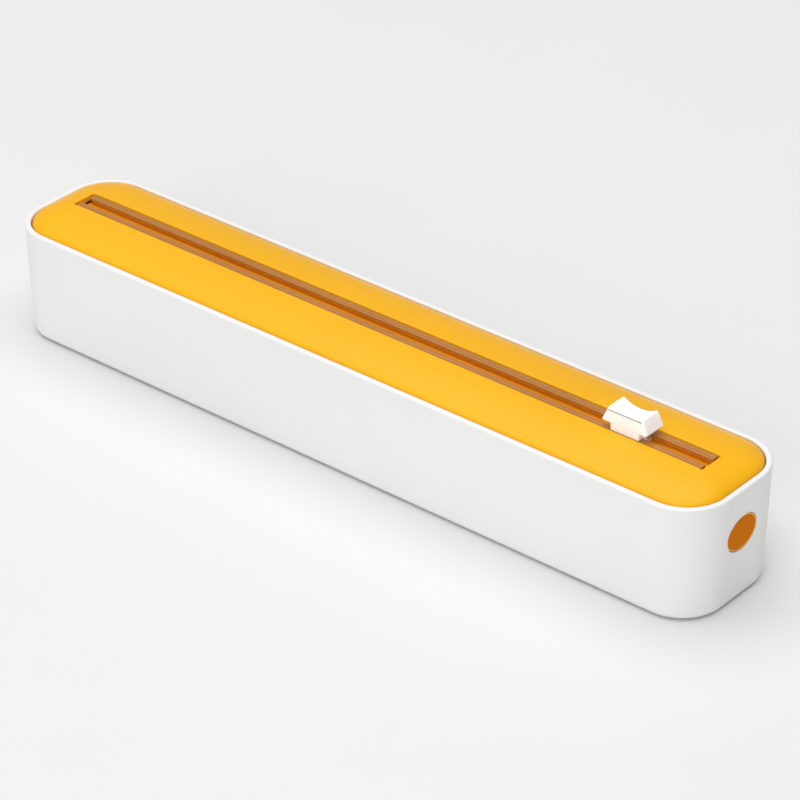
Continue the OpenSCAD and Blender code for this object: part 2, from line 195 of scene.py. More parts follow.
def finish_mesh(bm, name, material, sharp=32):
    """Makes the object: outward normals, smooth faces, and sharp edges above an angle."""
    bmesh.ops.recalc_face_normals(bm, faces=bm.faces)
    mesh = bpy.data.meshes.new(name)
    bm.to_mesh(mesh)
    bm.free()
    mesh.materials.append(material)
    obj = bpy.data.objects.new(name, mesh)
    scene.collection.objects.link(obj)
    shade(obj, sharp)
    return obj


def shade(obj, sharp):
    """Smooth faces, with sharp edges above an angle in degrees."""
    for face in obj.data.polygons:
        face.use_smooth = True
    obj.data.set_sharp_from_angle(angle=math.radians(sharp))


def even_shading(obj):
    """Lets large flat faces keep their own normal beside small rounded ones."""
    weighted = obj.modifiers.new("even_shading", "WEIGHTED_NORMAL")
    weighted.keep_sharp = True
    weighted.weight = 50


def cut(obj, cutter, sharp=32):
    """Takes cutter's volume away from obj and discards cutter."""
    boolean = obj.modifiers.new("cut", "BOOLEAN")
    boolean.operation = "DIFFERENCE"
    boolean.object = cutter
    boolean.solver = "EXACT"
    seen = obj.evaluated_get(bpy.context.evaluated_depsgraph_get())
    mesh = bpy.data.meshes.new_from_object(seen)
    mesh.name = obj.name
    obj.modifiers.clear()
    obj.data = mesh
    bpy.data.objects.remove(cutter)
    shade(obj, sharp)


def place(obj, body, slot, *nodes):
    """Rides obj on its body and hides the CAD nodes that it stands for. The slot is not used."""
    even_shading(obj)
    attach(obj, body)
    if nodes:
        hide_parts(*nodes)


# ---------------------------------------------------------------- materials

def noise(nodes, links, coords, scale, detail=3.0):
    """A noise texture in the object's own coordinates."""
    tex = nodes.new("ShaderNodeTexNoise")
    tex.inputs["Scale"].default_value = scale
    tex.inputs["Detail"].default_value = detail
    links.new(coords.outputs["Object"], tex.inputs["Vector"])
    return tex


def kind_of(nodes, kind):
    return next(n for n in nodes if n.type == kind)


def moulded(name, colour, roughness, tint=0.04, grain=0.03, grain_scale=2600, coat=0.0, coat_roughness=0.1,
            specular=0.5, transmission=0.0, metallic=0.0, depth=0.0):
    """Moulded plastic (or plain metal): slight colour and gloss drift, and a fine grain in the bump.

    With depth, light spreads that far inside it, and it also gets a faint painted glow: a white emission
    that brightens it though it is no lamp."""
    material = bpy.data.materials.new(name)
    material.use_nodes = True
    nodes, links = material.node_tree.nodes, material.node_tree.links
    shader = nodes["Principled BSDF"]
    coords = nodes.new("ShaderNodeTexCoord")

    drift_scale, gloss_scale, gloss_drift = 14, 55, 0.12
    drift = noise(nodes, links, coords, drift_scale)
    ramp = nodes.new("ShaderNodeValToRGB")
    ramp.color_ramp.elements[0].position = 0.35
    ramp.color_ramp.elements[1].position = 0.65
    ramp.color_ramp.elements[0].color = [c * (1 - tint) for c in colour] + [1]
    ramp.color_ramp.elements[1].color = [min(1, c * (1 + tint)) for c in colour] + [1]
    links.new(drift.outputs["Fac"], ramp.inputs["Fac"])
    links.new(ramp.outputs["Color"], shader.inputs["Base Color"])

    patches = noise(nodes, links, coords, gloss_scale)
    gloss = nodes.new("ShaderNodeMapRange")
    gloss.inputs["To Min"].default_value = roughness * (1 - gloss_drift)
    gloss.inputs["To Max"].default_value = roughness * (1 + gloss_drift)
    links.new(patches.outputs["Fac"], gloss.inputs["Value"])
    links.new(gloss.outputs["Result"], shader.inputs["Roughness"])

    texture = noise(nodes, links, coords, grain_scale, 2.0)
    bump = nodes.new("ShaderNodeBump")
    bump.inputs["Strength"].default_value = grain
    bump.inputs["Distance"].default_value = 0.05 * MM
    links.new(texture.outputs["Fac"], bump.inputs["Height"])
    links.new(bump.outputs["Normal"], shader.inputs["Normal"])

    shader.inputs["Specular IOR Level"].default_value = specular
    shader.inputs["Coat Weight"].default_value = coat
    shader.inputs["Coat Roughness"].default_value = coat_roughness
    shader.inputs["Transmission Weight"].default_value = transmission
    shader.inputs["Metallic"].default_value = metallic
    if depth:
        shader.inputs["Subsurface Weight"].default_value = 0.6
        shader.inputs["Subsurface Radius"].default_value = (1, 1, 1)
        shader.inputs["Subsurface Scale"].default_value = depth
        # Painted glow: a faint white emission that makes the part brighter than its lighting does
        shader.inputs["Emission Color"].default_value = (1, 1, 1, 1)
        shader.inputs["Emission Strength"].default_value = 0.1
    return material


def wound_film():
    """Clear film wound on a roll: glossy, with faint tension bands round it and fine winding lines."""
    material = moulded("wound_film_clear", (0.74, 0.79, 0.82), 0.16, coat=0.4, grain=0.0)
    nodes, links = material.node_tree.nodes, material.node_tree.links
    bump = kind_of(nodes, "BUMP")
    coords = kind_of(nodes, "TEX_COORD")
    bands = nodes.new("ShaderNodeTexWave")
    bands.bands_direction = "X"
    bands.inputs["Scale"].default_value = 38
    bands.inputs["Distortion"].default_value = 5
    bands.inputs["Detail"].default_value = 3
    links.new(coords.outputs["Object"], bands.inputs["Vector"])
    links.new(bands.outputs["Fac"], bump.inputs["Height"])
    bump.inputs["Strength"].default_value = 0.25
    bump.inputs["Distance"].default_value = 0.15 * MM
    return material


def paper():
    """Brown core board, with fibres and the seams of its spiral winding."""
    material = moulded("core_board", (0.45, 0.30, 0.17), 0.8, tint=0.15, grain=0.4, grain_scale=900)
    nodes, links = material.node_tree.nodes, material.node_tree.links
    shader = nodes["Principled BSDF"]
    coords = kind_of(nodes, "TEX_COORD")
    turned = nodes.new("ShaderNodeMapping")
    turned.inputs["Rotation"].default_value = (0, 0, math.radians(35))
    seams = nodes.new("ShaderNodeTexWave")
    seams.inputs["Scale"].default_value = 12
    seams.inputs["Distortion"].default_value = 0.4
    links.new(coords.outputs["Object"], turned.inputs["Vector"])
    links.new(turned.outputs["Vector"], seams.inputs["Vector"])
    mix = nodes.new("ShaderNodeMix")
    mix.data_type = "RGBA"
    mix.blend_type = "MULTIPLY"
    mix.inputs["Factor"].default_value = 0.2
    ramp = kind_of(nodes, "VALTORGB")
    links.new(ramp.outputs["Color"], mix.inputs["A"])
    links.new(seams.outputs["Color"], mix.inputs["B"])
    links.new(mix.outputs["Result"], shader.inputs["Base Color"])
    return material


def brushed(name, colour, roughness, direction):
    """Steel with fine parallel grinding lines along one axis."""
    material = moulded(name, colour, roughness, metallic=1.0, grain=0.0)
    nodes, links = material.node_tree.nodes, material.node_tree.links
    coords = kind_of(nodes, "TEX_COORD")
    bump = kind_of(nodes, "BUMP")
    stretch = nodes.new("ShaderNodeMapping")
    stretch.inputs["Scale"].default_value = direction
    lines = nodes.new("ShaderNodeTexNoise")
    lines.inputs["Scale"].default_value = 900
    links.new(coords.outputs["Object"], stretch.inputs["Vector"])
    links.new(stretch.outputs["Vector"], lines.inputs["Vector"])
    links.new(lines.outputs["Fac"], bump.inputs["Height"])
    bump.inputs["Strength"].default_value = 0.15
    bump.inputs["Distance"].default_value = 0.05 * MM
    return material


WHITE = moulded("white_gloss_plastic", (0.86, 0.86, 0.855), 0.38, tint=0.01)
ORANGE = moulded("orange_yellow_plastic", (0.91, 0.455, 0.005), 0.34, tint=0.02, specular=0.22)
TRACK_ORANGE = moulded("track_orange_plastic", (0.95, 0.40, 0.01), 0.45, tint=0.03)
CLEAR = moulded("smoky_clear_plastic", (0.68, 0.275, 0.045), 0.2, tint=0.06, coat=0.15, coat_roughness=0.08,
                transmission=0.35)
# The slider's white, with depth so that it carries the faint painted glow
SLIDER_WHITE_PAINTED_GLOW = moulded("slider_white_plastic_painted_glow", (0.96, 0.97, 0.975), 0.36, tint=0.01, specular=0.3,
                       depth=1.5 * MM)
# Painted shade: the button is the lid's orange darkened, with little gloss, as it looks on the shaded end
# wall
BUTTON_SHADED_ORANGE = moulded("button_orange_painted_shade", (0.68, 0.19, 0.001), 0.5, tint=0.03, specular=0.02)
# Painted highlight: a lighter, glossier orange for the bead round the button's face
BUTTON_EDGE_PAINTED_HIGHLIGHT = moulded("button_edge_painted_highlight", (0.93, 0.47, 0.02), 0.25, tint=0.03)
# Grey nylon for the roll plugs; the grip's seam strip uses it too, as painted shade in the groove
GREY_NYLON_AND_SEAM_SHADE = moulded("grey_nylon_and_seam_shade", (0.28, 0.28, 0.29), 0.5, tint=0.05, grain=0.12)
RUBBER = moulded("foot_rubber", (0.06, 0.06, 0.063), 0.75, tint=0.12, grain=0.3, grain_scale=1800)
STEEL = brushed("ground_steel", (0.62, 0.63, 0.65), 0.3, (1, 30, 30))
SCREW_STEEL = brushed("screw_steel", (0.55, 0.56, 0.57), 0.35, (20, 20, 1))
FILM = wound_film()
BOARD = paper()


# ---------------------------------------------------------------- tub

def lean(z):
    """How far the wall has come in at a height z."""
    return DRAFT * (RIM_Z - z) / (RIM_Z - BASE_Z)


def tub_ring(inset, z):
    """The tub's outline at a height z, that far in from the rim's outside."""
    return [(x, y, z) for x, y in outline(tub_high.x - inset, tub_high.y - inset, CORNER_R - inset)]


def quarter(steps):
    """Angles over a quarter turn."""
    return [math.radians(90 * k / steps) for k in range(steps + 1)]


def tub_rings():
    """(inset, height) from the underside, up the outside, over the rim and down to the floor."""
    base_inset = DRAFT + BASE_EDGE_R
    rings = [(base_inset + FLAT_BAND, BASE_Z), (base_inset + 1 * MM, BASE_Z)]
    for a in quarter(8)[:-1]:
        rings.append((base_inset - BASE_EDGE_R * math.sin(a), BASE_Z + BASE_EDGE_R * (1 - math.cos(a))))
    wall_bottom, wall_top = BASE_Z + BASE_EDGE_R, RIM_Z - RIM_OUTER_R
    for k in range(10):
        z = wall_bottom + (wall_top - wall_bottom) * k / 10
        rings.append((lean(z), z))
    for a in quarter(6):
        rings.append((RIM_OUTER_R * (1 - math.cos(a)), wall_top + RIM_OUTER_R * math.sin(a)))
    for a in reversed(quarter(6)):
        rings.append((WALL - RIM_INNER_R * (1 - math.cos(a)), RIM_Z - RIM_INNER_R * (1 - math.sin(a))))
    floor_z = BASE_Z + WALL
    inner_top, inner_bottom = RIM_Z - RIM_INNER_R, floor_z + FLOOR_EDGE_R
    for k in range(1, 9):
        z = inner_top + (inner_bottom - inner_top) * k / 8
        rings.append((WALL + lean(z), z))
    for a in quarter(5)[1:]:
        rings.append((WALL + DRAFT + FLOOR_EDGE_R * (1 - math.cos(a)),
                      floor_z + FLOOR_EDGE_R * (1 - math.sin(a))))
    rings.append((WALL + DRAFT + FLOOR_EDGE_R + FLAT_BAND, floor_z))
    return rings


def hole_cutter(side):
    """Oval cutter whose mouth flares in a quarter circle, square to the leaning end wall."""
    wall_x = tub_high.x - lean(BUTTON_Z)
    inwards, outwards = 6 * MM, 4 * MM
    profile = [(-inwards, HOLE_R), (-HOLE_FILLET, HOLE_R)]
    for a in quarter(6)[1:]:
        profile.append((-HOLE_FILLET * (1 - math.sin(a)), HOLE_R + HOLE_FILLET * (1 - math.cos(a))))
    profile.append((outwards, HOLE_R + HOLE_FILLET))
    bm = bmesh.new()
    lathe(bm, profile, (0, 0), stretch=HOLE_STRETCH)
    bmesh.ops.rotate(bm, verts=bm.verts, cent=(0, 0, 0), matrix=Matrix.Rotation(-LEAN_ANGLE, 3, "Y"))
    bmesh.ops.translate(bm, verts=bm.verts, vec=(wall_x, 0, BUTTON_Z))
    if side < 0:
        bmesh.ops.scale(bm, verts=bm.verts, vec=(-1, 1, 1))
    return finish_mesh(bm, "hole_cutter", WHITE)


def make_tub():
    bm = bmesh.new()
    loft(bm, [tub_ring(inset, z) for inset, z in tub_rings()])
    tub = finish_mesh(bm, "tub_body", WHITE)
    for side in (-1, 1):
        cut(tub, hole_cutter(side))
    place(tub, "tub", "white_plastic", "tub")


def make_tub_fittings():
    """Support ribs on the walls, under the lid's skirt, and screw bosses on the floor."""
    rib_top = lid_low.z - 0.1 * MM
    into_wall, into_floor, soft = 0.4 * MM, 1 * MM, 0.4 * MM
    root_z = BASE_Z + WALL - into_floor
    wall_y = tub_high.y - WALL - lean(rib_top) + into_wall
    rib_half, rib_depth = 2.5 * MM, 4 * MM
    outer_x, inner_x = 155 * MM, 60 * MM
    bm = bmesh.new()
    for y_side, places in ((-1, (-outer_x, outer_x)), (1, (-outer_x, -inner_x, inner_x, outer_x))):
        for x in places:
            y = sorted((y_side * (wall_y - rib_depth), y_side * wall_y))
            soft_box(bm, (x - rib_half, y[0], root_z), (x + rib_half, y[1], rib_top), soft)
    screw_low, screw_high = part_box("bracket_screws_right")
    boss_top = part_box("end_bracket_right")[0].z
    boss_r, foot_r, foot_h, bore_r = 3.4 * MM, 4.2 * MM, 1.6 * MM, 1.3 * MM
    screw_x = (screw_low.x + screw_high.x) / 2
    screw_y = screw_high.y - (screw_high.x - screw_low.x) / 2
    for x in (-screw_x, screw_x):
        for y in (-screw_y, screw_y):
            boss = fillet([(root_z, foot_r), (root_z + foot_h, boss_r), (boss_top, boss_r),
                           (boss_top, bore_r)], soft)
            lathe(bm, boss, (x, y), steps=40, axis="Z")
    place(finish_mesh(bm, "tub_ribs_and_bosses", WHITE), "tub", "white_plastic")


# ---------------------------------------------------------------- lid

def crown_height(x, y, inset):
    """Height of the crowned surface over (x, y), for the outside (inset 0) or the inside."""
    half_x, half_y, r = lid_high.x - inset, lid_high.y - inset, LID_CORNER_R - inset
    dx, dy = max(0.0, abs(x) - (half_x - END_ROLL)), abs(y)
    run_x, run_y = END_ROLL - r, half_y - r
    if dx <= run_x * dy / half_y:
        u = dy / half_y
    elif dy <= run_y * dx / END_ROLL:
        u = dx / END_ROLL
    else:
        a = run_x ** 2 + run_y ** 2 - r ** 2
        b = run_x * dx + run_y * dy
        u = (b - math.sqrt(max(0.0, b * b - a * (dx * dx + dy * dy)))) / a
    return LID_EDGE_Z - inset + CROWN * math.sqrt(max(0.0, 1 - min(1.0, u) ** 2))


def crown_rings(inset, slot_grow, steps):
    """Rings over the crown from the lid's edge to the slot, closer together near the edge."""
    edge = outline(lid_high.x - inset, lid_high.y - inset, LID_CORNER_R - inset)
    slot = outline(SLOT_X + slot_grow, SLOT_Y + slot_grow, SLOT_CORNER_R + slot_grow)
    last = math.acos((SLOT_Y + slot_grow) / lid_high.y)
    rings = []
    for k in range(steps + 1):
        s = (1 - math.cos(last * k / steps)) / (1 - math.cos(last))
        ring = [(a[0] + (b[0] - a[0]) * s, a[1] + (b[1] - a[1]) * s) for a, b in zip(edge, slot)]
        rings.append([(x, y, crown_height(x, y, inset)) for x, y in ring])
    return rings


def skirt_rings(inset, heights):
    """Rings down the skirt, which leans in as the tub's wall does."""
    rings = []
    for z in heights:
        shrink = inset + lean(z) - lean(LID_EDGE_Z)
        rings.append([(x, y, z) for x, y in
                      outline(lid_high.x - shrink, lid_high.y - shrink, LID_CORNER_R - shrink)])
    return rings


def make_lid():
    """One closed skin: up the skirt, over the crown, down into the slot and back along the inside."""
    skirt_z = lid_low.z
    soft = 0.3 * MM
    rings = skirt_rings(soft, [skirt_z])
    rings += skirt_rings(0, [skirt_z + soft, skirt_z + 1 * MM, LID_EDGE_Z - 2 * MM, LID_EDGE_Z - 0.5 * MM])
    rings += crown_rings(0, SLOT_FILLET, 26)
    for a in quarter(7)[1:]:
        grow = SLOT_FILLET * (1 - math.sin(a))
        drop = SLOT_FILLET * (1 - math.cos(a))
        rings.append([(x, y, crown_height(x, y, 0) - drop) for x, y in
                      outline(SLOT_X + grow, SLOT_Y + grow, SLOT_CORNER_R + grow)])
    rings += list(reversed(crown_rings(LID_WALL, 0, 14)))
    rings += skirt_rings(LID_WALL, [LID_EDGE_Z - LID_WALL - 1 * MM, skirt_z + soft])
    rings += skirt_rings(LID_WALL - soft, [skirt_z])
    bm = bmesh.new()
    loft(bm, rings, closed=True)
    add_ledges(bm)
    place(finish_mesh(bm, "lid_cover", ORANGE), "lid", "orange_plastic", "lid_shell")


def add_ledges(bm):
    """The catch ledges inside the lid's ends: a shelf, and a plate that roots it in the wall."""
    into_wall, plate, shelf, soft = 0.6 * MM, 2 * MM, 1.4 * MM, 0.25 * MM
    root_x = lid_high.x - LID_WALL + into_wall
    low_z = lid_low.z + 0.6 * MM
    for side in (-1, 1):
        for inner_x, top_z in ((LEDGE_X, low_z + shelf), (root_x - plate, LID_EDGE_Z - 1 * MM)):
            x = sorted((side * inner_x, side * root_x))
            soft_box(bm, (x[0], -LEDGE_HALF_WIDTH, low_z), (x[1], LEDGE_HALF_WIDTH, top_z), soft)


def make_rail(name, side):
    """A strip with rounded long edges, and a fine line of relief along its middle."""
    low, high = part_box(name)
    inner, outer = min(abs(low.y), abs(high.y)), max(abs(low.y), abs(high.y))
    width, height = outer - inner, high.z - low.z
    line_at, line_half, line_depth = 0.58 * width, 0.04 * width, 0.12 * MM
    edge_r = 0.28 * MM
    middle = (0.5 * width, 0)
    section = [middle, (width, 0), (width, height), (line_at + line_half, height),
               (line_at, height - line_depth), (line_at - line_half, height), (0, height), (0, 0), middle]
    rounded = fillet(section, edge_r, 4)[:-1]
    near_end, parts = 1 * MM, 30
    stops = [low.x, low.x + near_end] + [low.x + (high.x - low.x) * k / parts for k in range(1, parts)]
    stops += [high.x - near_end, high.x]
    bm = bmesh.new()
    loft(bm, [[(x, side * (inner + u), low.z + v) for u, v in rounded] for x in stops])
    place(finish_mesh(bm, name + "_strip", CLEAR, 50), "lid", "clear_plastic", name)


# ---------------------------------------------------------------- slider

def make_grip():
    """A block that narrows upwards from a lip, with a saddle in its top and a seam on front and back.

    What differs between the two is keyed by side, -1 for the front and 1 for the back."""
    half = (grip_high.x - grip_low.x) / 2
    centre = (grip_high.x + grip_low.x) / 2
    half_y = grip_high.y
    low, top = grip_low.z, grip_high.z
    lip, edge_r = 0.9 * MM, 0.75 * MM
    top_half, top_half_y = 7.85 * MM, 4.8 * MM
    saddle_depth = {-1: 0.9 * MM, 1: 2.7 * MM}
    saddle_steps, saddle_power = 14, 0.9

    def side_view(saddle):
        points = [(-half, low), (half, low), (half, low + lip), (top_half, top)]
        for k in range(1, saddle_steps):
            u = 1 - 2 * k / saddle_steps
            points.append((u * top_half, top - saddle * (1 - u * u) ** saddle_power))
        return points + [(-top_half, top), (-half, low + lip)]

    def depth(z):
        return half_y + (top_half_y - half_y) * max(0, z - low - lip) / (top - low - lip)

    bm = bmesh.new()
    loft(bm, [[(centre + x, s * depth(z), z) for x, z in side_view(saddle_depth[s])] for s in (-1, 1)])
    bmesh.ops.recalc_face_normals(bm, faces=bm.faces)
    edges = [e for e in bm.edges if e.calc_face_angle(0) > math.radians(30)]
    bmesh.ops.bevel(bm, geom=edges, offset=edge_r, segments=5, profile=0.5, affect="EDGES")
    grip = finish_mesh(bm, "slider_grip_block", SLIDER_WHITE_PAINTED_GLOW)

    # The seam is a groove with a grey strip sunk in it, painted shade that darkens the groove
    seam_drop = {-1: 1.6 * MM, 1: 3.2 * MM}
    seam_left, seam_right, seam_half = centre - 8 * MM, centre + 7.6 * MM, 0.25 * MM
    groove_depth, strip_back, strip_front = 0.8 * MM, 1 * MM, 0.25 * MM
    end_gap, side_gap = 0.1 * MM, 0.01 * MM
    seam_shade_strips = bmesh.new()
    for s in (-1, 1):
        line_z = top - seam_drop[s]
        face_y = depth(line_z)
        y = sorted((s * (face_y - groove_depth), s * (face_y + 2 * MM)))
        bm = bmesh.new()
        soft_box(bm, (seam_left, y[0], line_z - seam_half), (seam_right, y[1], line_z + seam_half),
                 0.08 * MM, 2)
        cut(grip, finish_mesh(bm, "line_cutter", SLIDER_WHITE_PAINTED_GLOW))
        y = sorted((s * (face_y - strip_back), s * (face_y - strip_front)))
        strip_half = seam_half - side_gap
        soft_box(seam_shade_strips, (seam_left + end_gap, y[0], line_z - strip_half),
                 (seam_right - end_gap, y[1], line_z + strip_half), 0.05 * MM, 1)
    place(grip, "slider", "slider_plastic", "slider_grip")
    place(finish_mesh(seam_shade_strips, "grip_seam_painted_shade", GREY_NYLON_AND_SEAM_SHADE), "slider", "grey_plastic")


def make_slider_base():
    """The lower block, which reaches up into the grip and has a slot at each end for a blade."""
    tuck, into_grip, soft = 0.02 * MM, 0.85 * MM, 0.3 * MM
    slot_inner, slot_outer, slot_half = 4.1 * MM, 9 * MM, 0.25 * MM
    slot_low, slot_high = base_low.z - 1 * MM, blade_high.z + 0.1 * MM
    centre = (base_low.x + base_high.x) / 2
    bm = bmesh.new()
    soft_box(bm, (base_low.x, base_low.y + tuck, base_low.z),
             (base_high.x, base_high.y - tuck, base_high.z + into_grip), soft)
    base = finish_mesh(bm, "slider_base_block", SLIDER_WHITE_PAINTED_GLOW)
    for side in (-1, 1):
        x = sorted((centre + side * slot_inner, centre + side * slot_outer))
        bm = bmesh.new()
        soft_box(bm, (x[0], -slot_half, slot_low), (x[1], slot_half, slot_high), 0.05 * MM, 1)
        cut(base, finish_mesh(bm, "slot_cutter", SLIDER_WHITE_PAINTED_GLOW))
    place(base, "slider", "slider_plastic", "slider_base")


def make_blade(name, side):
    """A thin plate whose slanting outer edge is ground down to a cutting edge on both faces.

    Its points are fractions of its length and height; edge says where the grinding starts."""
    low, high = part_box(name)
    half_t = high.y
    root = low.x if side > 0 else high.x
    reach = (high.x - low.x) * side
    plate = [(0, 0.53), (0.28, 0.53), (0.36, 0), (0.62, 0), (1, 1), (0, 1)]
    edge = {3: (0.545, 0), 4: (0.90, 1)}
    bm = bmesh.new()
    height = high.z - low.z

    def at(point, y):
        return (root + reach * point[0], y, low.z + height * point[1])

    outer = [bm.verts.new(at(plate[i], 0)) for i in (3, 4)]
    sheets = []
    for y in (-half_t, half_t):
        sheets.append([bm.verts.new(at(edge.get(i, plate[i]), y)) for i in range(6)])
    for sheet in sheets:
        bm.faces.new(sheet)
        bm.faces.new((sheet[3], sheet[4], outer[1], outer[0]))
    for i, j in ((0, 1), (1, 2), (2, 3), (4, 5), (5, 0)):
        bm.faces.new((sheets[0][i], sheets[0][j], sheets[1][j], sheets[1][i]))
    bm.faces.new((sheets[0][3], outer[0], sheets[1][3]))
    bm.faces.new((sheets[0][4], outer[1], sheets[1][4]))
    place(finish_mesh(bm, name + "_ground", STEEL, 5), "slider", "steel", name)


# ---------------------------------------------------------------- buttons and springs

def make_button(name, side):
    """A cupped cap with a flange behind the wall, its catch arm, and a bead round its face. The cap is
    darkened as painted shade, and the bead is a lighter orange as a painted highlight.
    """
    cap_thick, flange_thick, edge_r = 1.6 * MM, 1.8 * MM, 0.4 * MM
    arm_reach, arm_thick, soft = 5 * MM, 2.2 * MM, 0.3 * MM
    face, arm = button_high.x, button_low.x
    cup, back = face - cap_thick, arm + arm_reach
    profile = fillet([
        (cup, AXIS_R), (cup, CUP_R), (back, CUP_R), (back, BUTTON_FLANGE_R),
        (back + flange_thick, BUTTON_FLANGE_R), (back + flange_thick, BUTTON_R), (face, BUTTON_R),
        (face, BUTTON_R - 1 * MM), (face, AXIS_R)], edge_r)
    bm = bmesh.new()
    lathe(bm, profile, (0, BUTTON_Z), side=side, stretch=HOLE_STRETCH)
    bar_low, bar_high = BUTTON_Z + CATCH_BAR[0], BUTTON_Z + CATCH_BAR[1]
    for outer_x, top_z in ((back + 1 * MM, bar_high), (arm + arm_thick, button_high.z)):
        x = sorted((side * arm, side * outer_x))
        soft_box(bm, (x[0], -CATCH_HALF_WIDTH, bar_low), (x[1], CATCH_HALF_WIDTH, top_z), soft)
    place(finish_mesh(bm, name + "_cap", BUTTON_SHADED_ORANGE), name, "button_plastic", name)

    # Painted highlight: a bead in lighter, glossier orange round the face, standing for light caught on the
    # cap's edge
    bead_r, sunk, steps = 0.4 * MM, 0.33 * MM, 12
    bead = []
    for k in range(steps):
        a = 2 * math.pi * k / steps
        bead.append((face - sunk + bead_r * math.cos(a), BUTTON_R - sunk + bead_r * math.sin(a)))
    bm = bmesh.new()
    lathe(bm, bead, (0, BUTTON_Z), side=side, stretch=HOLE_STRETCH, closed=True)
    place(finish_mesh(bm, name + "_highlight_bead", BUTTON_EDGE_PAINTED_HIGHLIGHT, 60), name, "button_plastic")


def make_spring(name, side):
    """A coil with close turns at both ends, between the bracket and the button."""
    wire, coil, turns, per_turn, sides = 0.4 * MM, 5 * MM, 5, 36, 12
    end_turns, end_pitch = 0.6, 0.12
    x0, x1 = spring_low.x + wire, spring_high.x - wire
    rings = []
    for i in range(turns * per_turn + 1):
        t = i / (turns * per_turn)
        a = 2 * math.pi * turns * t
        eased = min(1.0, max(0.0, (t * turns - end_turns) / (turns - 2 * end_turns)))
        ring = []
        for k in range(sides):
            b = 2 * math.pi * k / sides
            r = coil + wire * math.cos(b)
            x = x0 + (x1 - x0) * (end_pitch * t + (1 - end_pitch) * eased) + wire * math.sin(b)
            ring.append((side * x, r * math.cos(a), BUTTON_Z + r * math.sin(a)))
        rings.append(ring)
    bm = bmesh.new()
    loft(bm, rings)
    spring = finish_mesh(bm, name + "_wire", SCREW_STEEL)
    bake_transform(spring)
    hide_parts(name)


# ---------------------------------------------------------------- film roll

def make_roll():
    """The wound film, whose layers end a little unevenly, and its board tube."""
    axis = (0, (roll_low.z + roll_high.z) / 2)
    outer = (roll_high.z - roll_low.z) / 2
    core_r = (core_high.z - core_low.z) / 2
    inner = core_r + 0.05 * MM
    half = roll_high.x
    random.seed(7)
    layers, uneven, parts = 14, 0.25 * MM, 12
    end = [(half - uneven * random.random(), inner + (outer - inner) * (k + 0.5) / layers)
           for k in range(layers)]
    profile = [(half - 0.4 * MM, inner)] + end + [(half - 0.3 * MM, outer)]
    body = [(half * k / parts, outer) for k in range(parts - 1, -parts, -1)]
    profile += body + [(-x, r) for x, r in reversed(profile)]
    bm = bmesh.new()
    lathe(bm, profile, axis, steps=120, closed=True)
    place(finish_mesh(bm, "film_roll_wound", FILM, 60), "roll", "film", "film_roll")

    core_half, bore_r, edge_r = core_high.x, core_r - 1.2 * MM, 0.3 * MM
    loop = fillet([(0, core_r), (core_half, core_r), (core_half, bore_r), (-core_half, bore_r),
                   (-core_half, core_r), (0, core_r)], edge_r, 3)[:-1]
    bm = bmesh.new()
    lathe(bm, loop, axis, steps=80, closed=True)
    place(finish_mesh(bm, "core_board_tube", BOARD, 50), "roll", "paper_core", "core_tube")


def make_plug(name, side):
    """A hollow spigot in the core, a flange with a ribbed dish in its face, and a stub axle."""
    axis = (0, (plug_low.z + plug_high.z) / 2)
    spigot_r, flange_r, axle_r = 14.95 * MM, (plug_high.z - plug_low.z) / 2, 3 * MM
    bore_r, edge_r = spigot_r - 2 * MM, 0.35 * MM
    dish_r, dish_floor_r, hub_foot_r, hub_r = 9 * MM, 8.4 * MM, 5 * MM, 4.2 * MM
    seat = core_high.x
    web, dish, face = seat - 1 * MM, seat + 1.4 * MM, seat + 2 * MM
    profile = fillet([
        (web, AXIS_R), (web, bore_r), (plug_low.x, bore_r), (plug_low.x, spigot_r), (seat, spigot_r),
        (seat, flange_r), (face, flange_r), (face, dish_r), (dish, dish_floor_r), (dish, hub_foot_r),
        (face, hub_r), (face, axle_r), (plug_high.x, axle_r), (plug_high.x, AXIS_R)], edge_r, 4)
    bm = bmesh.new()
    lathe(bm, profile, axis, side=side)
    ribs, rib_from, rib_to, rib_half, sunk = 6, 4.6 * MM, 8.8 * MM, 0.6 * MM, 0.2 * MM
    for k in range(ribs):
        before = set(bm.verts)
        soft_box(bm, (dish - sunk, rib_from, -rib_half), (face, rib_to, rib_half), 0.2 * MM, 2)
        turn = Matrix.Rotation(math.radians(360 * k / ribs), 3, "X")
        for v in set(bm.verts) - before:
            v.co = turn @ v.co + Vector((0, axis[0], axis[1]))
            v.co.x *= side
    place(finish_mesh(bm, name + "_moulding", GREY_NYLON_AND_SEAM_SHADE), "roll", "grey_plastic", name)


# ---------------------------------------------------------------- small parts

def make_feet():
    edge_r = 0.3 * MM
    for name in ("foot_front_left", "foot_front_right", "foot_back_left", "foot_back_right"):
        low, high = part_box(name)
        r = (high.x - low.x) / 2
        profile = fillet([(high.z, AXIS_R), (high.z, r), (low.z, r), (low.z, AXIS_R)], edge_r)
        bm = bmesh.new()
        lathe(bm, profile, ((low.x + high.x) / 2, (low.y + high.y) / 2), steps=64, axis="Z")
        place(finish_mesh(bm, name + "_pad", RUBBER), "tub", "rubber", name)


